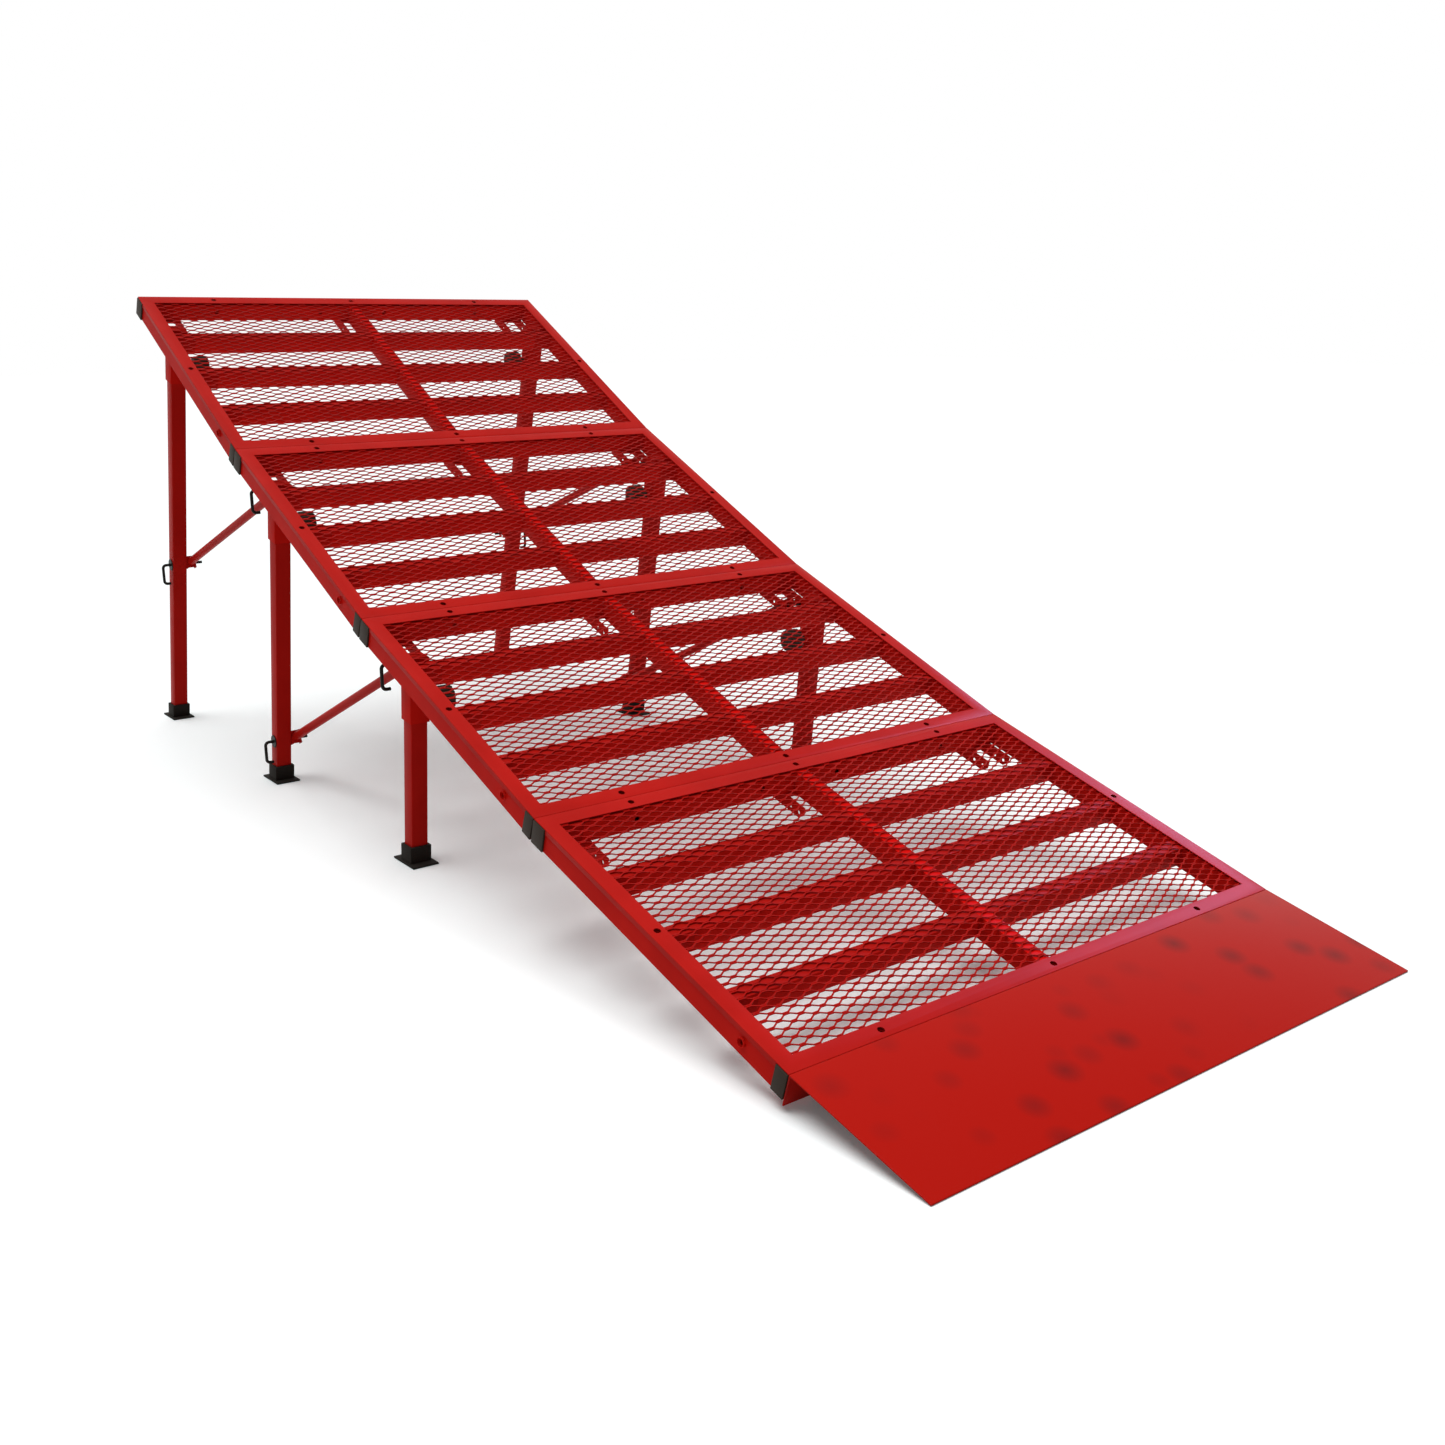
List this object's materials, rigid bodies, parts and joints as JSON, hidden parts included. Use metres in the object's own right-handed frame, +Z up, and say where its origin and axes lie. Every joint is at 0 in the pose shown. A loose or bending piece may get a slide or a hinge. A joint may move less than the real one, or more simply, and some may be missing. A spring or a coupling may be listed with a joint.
{
  "type": "jump ramp",
  "caption": "Modular curved jump ramp: hinge-free deck sections of tube and expanded mesh on telescopic pinned and braced legs, with a bent floor plate.",
  "frame": {"origin": "centre of the overall footprint, on the floor", "axes": "+X across the ramp to the right seen from the floor plate, +Y from the floor plate to the high end, +Z up"},
  "size_m": [1.2274, 3.3274, 1.2305],
  "materials": {
    "frame_paint": "satin red powder coat",
    "mesh_paint": "satin red powder coat on expanded steel",
    "plate_paint": "glossy red powder coat",
    "black_plastic": "matt moulded plastic",
    "foot_rubber": "matt black rubber",
    "black_steel": "black oxide on steel wire"
  },
  "bodies": {
    "deck": {"floor_plate": "plate_paint", "frame_1": "frame_paint", "mesh_1": "mesh_paint", "cover_1": "frame_paint", "cap_1_low_left": "black_plastic", "cap_1_high_left": "black_plastic", "cap_1_low_right": "black_plastic", "cap_1_high_right": "black_plastic", "frame_2": "frame_paint", "mesh_2": "mesh_paint", "cover_2": "frame_paint", "cap_2_low_left": "black_plastic", "cap_2_high_left": "black_plastic", "cap_2_low_right": "black_plastic", "cap_2_high_right": "black_plastic", "frame_3": "frame_paint", "mesh_3": "mesh_paint", "cover_3": "frame_paint", "cap_3_low_left": "black_plastic", "cap_3_high_left": "black_plastic", "cap_3_low_right": "black_plastic", "cap_3_high_right": "black_plastic", "frame_4": "frame_paint", "mesh_4": "mesh_paint", "cover_4": "frame_paint", "cap_4_low_left": "black_plastic", "cap_4_high_left": "black_plastic", "cap_4_low_right": "black_plastic", "cap_4_high_right": "black_plastic"},
    "leg_2_left": {"leg_2_left": "frame_paint", "foot_2_left": "foot_rubber"},
    "knob_2_left": {"knob_2_left": "black_plastic"},
    "leg_2_right": {"leg_2_right": "frame_paint", "foot_2_right": "foot_rubber"},
    "knob_2_right": {"knob_2_right": "black_plastic"},
    "leg_3_left": {"leg_3_left": "frame_paint", "foot_3_left": "foot_rubber"},
    "knob_3_left": {"knob_3_left": "black_plastic"},
    "brace_3_left": {"brace_3_left": "frame_paint"},
    "pin_3_low_left": {"pin_3_low_left": "black_steel"},
    "pin_3_high_left": {"pin_3_high_left": "black_steel"},
    "leg_3_right": {"leg_3_right": "frame_paint", "foot_3_right": "foot_rubber"},
    "knob_3_right": {"knob_3_right": "black_plastic"},
    "brace_3_right": {"brace_3_right": "frame_paint"},
    "pin_3_low_right": {"pin_3_low_right": "black_steel"},
    "pin_3_high_right": {"pin_3_high_right": "black_steel"},
    "leg_4_left": {"leg_4_left": "frame_paint", "foot_4_left": "foot_rubber"},
    "knob_4_left": {"knob_4_left": "black_plastic"},
    "brace_4_left": {"brace_4_left": "frame_paint"},
    "pin_4_low_left": {"pin_4_low_left": "black_steel"},
    "pin_4_high_left": {"pin_4_high_left": "black_steel"},
    "leg_4_right": {"leg_4_right": "frame_paint", "foot_4_right": "foot_rubber"},
    "knob_4_right": {"knob_4_right": "black_plastic"},
    "brace_4_right": {"brace_4_right": "frame_paint"},
    "pin_4_low_right": {"pin_4_low_right": "black_steel"},
    "pin_4_high_right": {"pin_4_high_right": "black_steel"}
  },
  "joints": [
    {"name": "leg_2_left_slide", "type": "slide", "parent": "deck", "child": "leg_2_left", "axis": [0, 0.1175, -0.9931], "range_m": [0, 0.08]},
    {"name": "knob_2_left_turn", "type": "hinge", "parent": "deck", "child": "knob_2_left", "pos_m": [-0.5336, -0.05435, 0.37096], "axis": [1, 0, 0], "continuous": true},
    {"name": "leg_2_right_slide", "type": "slide", "parent": "deck", "child": "leg_2_right", "axis": [0, 0.1175, -0.9931], "range_m": [0, 0.08]},
    {"name": "knob_2_right_turn", "type": "hinge", "parent": "deck", "child": "knob_2_right", "pos_m": [0.5336, -0.05435, 0.37096], "axis": [1, 0, 0], "continuous": true},
    {"name": "leg_3_left_slide", "type": "slide", "parent": "deck", "child": "leg_3_left", "axis": [0, 0.1951, -0.9808], "range_m": [0, 0.08]},
    {"name": "knob_3_left_turn", "type": "hinge", "parent": "deck", "child": "knob_3_left", "pos_m": [-0.5336, 0.64595, 0.6803], "axis": [1, 0, 0], "continuous": true},
    {"name": "brace_3_left_swing", "type": "hinge", "parent": "deck", "child": "brace_3_left", "pos_m": [-0.5234, 0.01184, 0.44644], "axis": [1, 0, 0], "range_deg": [0, 36]},
    {"name": "pin_3_low_left_slide", "type": "slide", "parent": "leg_3_left", "child": "pin_3_low_left", "axis": [-1, 0, 0], "range_m": [0, 0.09]},
    {"name": "pin_3_high_left_slide", "type": "slide", "parent": "deck", "child": "pin_3_high_left", "axis": [-1, 0, 0], "range_m": [0, 0.09]},
    {"name": "leg_3_right_slide", "type": "slide", "parent": "deck", "child": "leg_3_right", "axis": [0, 0.1951, -0.9808], "range_m": [0, 0.08]},
    {"name": "knob_3_right_turn", "type": "hinge", "parent": "deck", "child": "knob_3_right", "pos_m": [0.5336, 0.64595, 0.6803], "axis": [1, 0, 0], "continuous": true},
    {"name": "brace_3_right_swing", "type": "hinge", "parent": "deck", "child": "brace_3_right", "pos_m": [0.5234, 0.01184, 0.44644], "axis": [1, 0, 0], "range_deg": [0, 36]},
    {"name": "pin_3_low_right_slide", "type": "slide", "parent": "leg_3_right", "child": "pin_3_low_right", "axis": [1, 0, 0], "range_m": [0, 0.09]},
    {"name": "pin_3_high_right_slide", "type": "slide", "parent": "deck", "child": "pin_3_high_right", "axis": [1, 0, 0], "range_m": [0, 0.09]},
    {"name": "leg_4_left_slide", "type": "slide", "parent": "deck", "child": "leg_4_left", "axis": [0, 0.2714, -0.9625], "range_m": [0, 0.08]},
    {"name": "knob_4_left_turn", "type": "hinge", "parent": "deck", "child": "knob_4_left", "pos_m": [-0.5336, 1.31983, 1.04364], "axis": [1, 0, 0], "continuous": true},
    {"name": "brace_4_left_swing", "type": "hinge", "parent": "deck", "child": "brace_4_left", "pos_m": [-0.5234, 0.70601, 0.76074], "axis": [1, 0, 0], "range_deg": [0, 36]},
    {"name": "pin_4_low_left_slide", "type": "slide", "parent": "leg_4_left", "child": "pin_4_low_left", "axis": [-1, 0, 0], "range_m": [0, 0.09]},
    {"name": "pin_4_high_left_slide", "type": "slide", "parent": "deck", "child": "pin_4_high_left", "axis": [-1, 0, 0], "range_m": [0, 0.09]},
    {"name": "leg_4_right_slide", "type": "slide", "parent": "deck", "child": "leg_4_right", "axis": [0, 0.2714, -0.9625], "range_m": [0, 0.08]},
    {"name": "knob_4_right_turn", "type": "hinge", "parent": "deck", "child": "knob_4_right", "pos_m": [0.5336, 1.31983, 1.04364], "axis": [1, 0, 0], "continuous": true},
    {"name": "brace_4_right_swing", "type": "hinge", "parent": "deck", "child": "brace_4_right", "pos_m": [0.5234, 0.70601, 0.76074], "axis": [1, 0, 0], "range_deg": [0, 36]},
    {"name": "pin_4_low_right_slide", "type": "slide", "parent": "leg_4_right", "child": "pin_4_low_right", "axis": [1, 0, 0], "range_m": [0, 0.09]},
    {"name": "pin_4_high_right_slide", "type": "slide", "parent": "deck", "child": "pin_4_high_right", "axis": [1, 0, 0], "range_m": [0, 0.09]}
  ]
}
